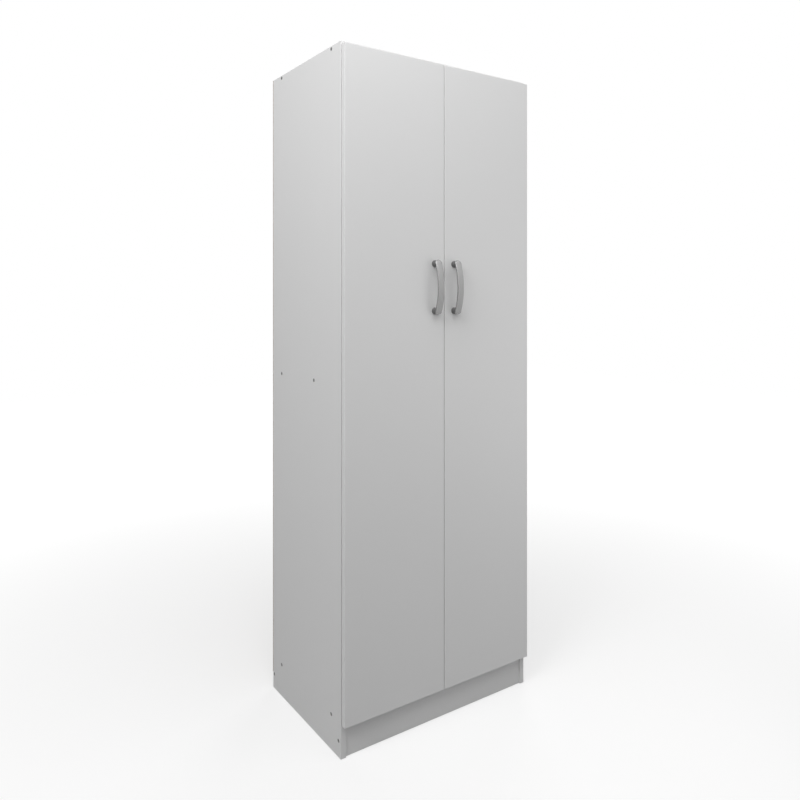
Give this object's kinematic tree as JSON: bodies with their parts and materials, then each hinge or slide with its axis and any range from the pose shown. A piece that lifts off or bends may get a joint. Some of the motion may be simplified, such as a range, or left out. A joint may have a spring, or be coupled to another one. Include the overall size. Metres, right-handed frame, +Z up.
{
  "type": "wardrobe",
  "caption": "White two-door wardrobe with full-overlay doors on concealed hinges, bow handles, recessed plinth, fixed and adjustable shelves and a hanging rail.",
  "frame": {"origin": "on the floor, under the middle of the whole object's bounding box, handles and back included", "axes": "+X to the viewer's right when facing the doors, -Y out of the doors, +Z up"},
  "size_m": [0.63, 0.4544, 1.8],
  "materials": {
    "carcass_board": "white melamine-faced chipboard, fine matt grain, edges banded",
    "door_board": "white melamine-faced chipboard, fine matt grain, edges banded",
    "back_sheet": "hardboard, white lacquer inside",
    "nail_steel": "bright steel",
    "carcass_screw": "zinc plated",
    "handle_metal": "satin nickel plated",
    "rail_chrome": "bright chrome plated",
    "bumper_rubber": "soft clear silicone",
    "pin_nickel": "nickel plated",
    "small_screw": "zinc plated",
    "pivot_steel": "bright steel",
    "hinge_nickel": "nickel plated pressed steel"
  },
  "bodies": {
    "carcass": {"left_side_panel": "carcass_board", "right_side_panel": "carcass_board", "top_panel": "carcass_board", "bottom_panel": "carcass_board", "fixed_shelf": "carcass_board", "front_plinth": "carcass_board", "rear_rail": "carcass_board", "upper_back": "back_sheet", "lower_back": "back_sheet", "back_nails": "nail_steel", "left_carcass_screws": "carcass_screw", "right_carcass_screws": "carcass_screw", "adjustable_shelf": "carcass_board", "shelf_pins": "pin_nickel", "hanging_rail": "rail_chrome", "rail_brackets": "rail_chrome", "rail_bracket_screws": "small_screw", "door_bumpers": "bumper_rubber", "left_hinge_plates": "hinge_nickel", "right_hinge_plates": "hinge_nickel", "left_plate_screws": "small_screw", "right_plate_screws": "small_screw", "left_hinge_arms": "hinge_nickel", "right_hinge_arms": "hinge_nickel", "left_arm_screws": "small_screw", "right_arm_screws": "small_screw", "left_arm_pins": "pivot_steel", "right_arm_pins": "pivot_steel"},
    "left_links": {"left_hinge_links": "hinge_nickel"},
    "right_links": {"right_hinge_links": "hinge_nickel"},
    "left_door_assembly": {"left_door": "door_board", "left_hinge_cups": "hinge_nickel", "left_cup_screws": "small_screw", "left_cup_pins": "pivot_steel", "left_handle": "handle_metal", "left_handle_screws": "small_screw"},
    "right_door_assembly": {"right_door": "door_board", "right_hinge_cups": "hinge_nickel", "right_cup_screws": "small_screw", "right_cup_pins": "pivot_steel", "right_handle": "handle_metal", "right_handle_screws": "small_screw"}
  },
  "joints": [
    {"name": "left_hinge_link_turn", "type": "hinge", "parent": "carcass", "child": "left_links", "pos_m": [-0.3054, -0.18865, 0.93825], "axis": [0, 0, -1], "range_deg": [0, 116]},
    {"name": "left_door_turn", "type": "hinge", "parent": "left_links", "child": "left_door_assembly", "pos_m": [-0.281, -0.18335, 0.93825], "axis": [0, 0, -1], "range_deg": [-16, 0]},
    {"name": "right_hinge_link_turn", "type": "hinge", "parent": "carcass", "child": "right_links", "pos_m": [0.3054, -0.18865, 0.93825], "axis": [0, 0, 1], "range_deg": [0, 116]},
    {"name": "right_door_turn", "type": "hinge", "parent": "right_links", "child": "right_door_assembly", "pos_m": [0.281, -0.18335, 0.93825], "axis": [0, 0, 1], "range_deg": [-16, 0]}
  ],
  "couplings": [
    {"joint": "left_door_turn", "follows": "left_hinge_link_turn", "ratio": -0.1379},
    {"joint": "right_door_turn", "follows": "right_hinge_link_turn", "ratio": -0.1379}
  ]
}
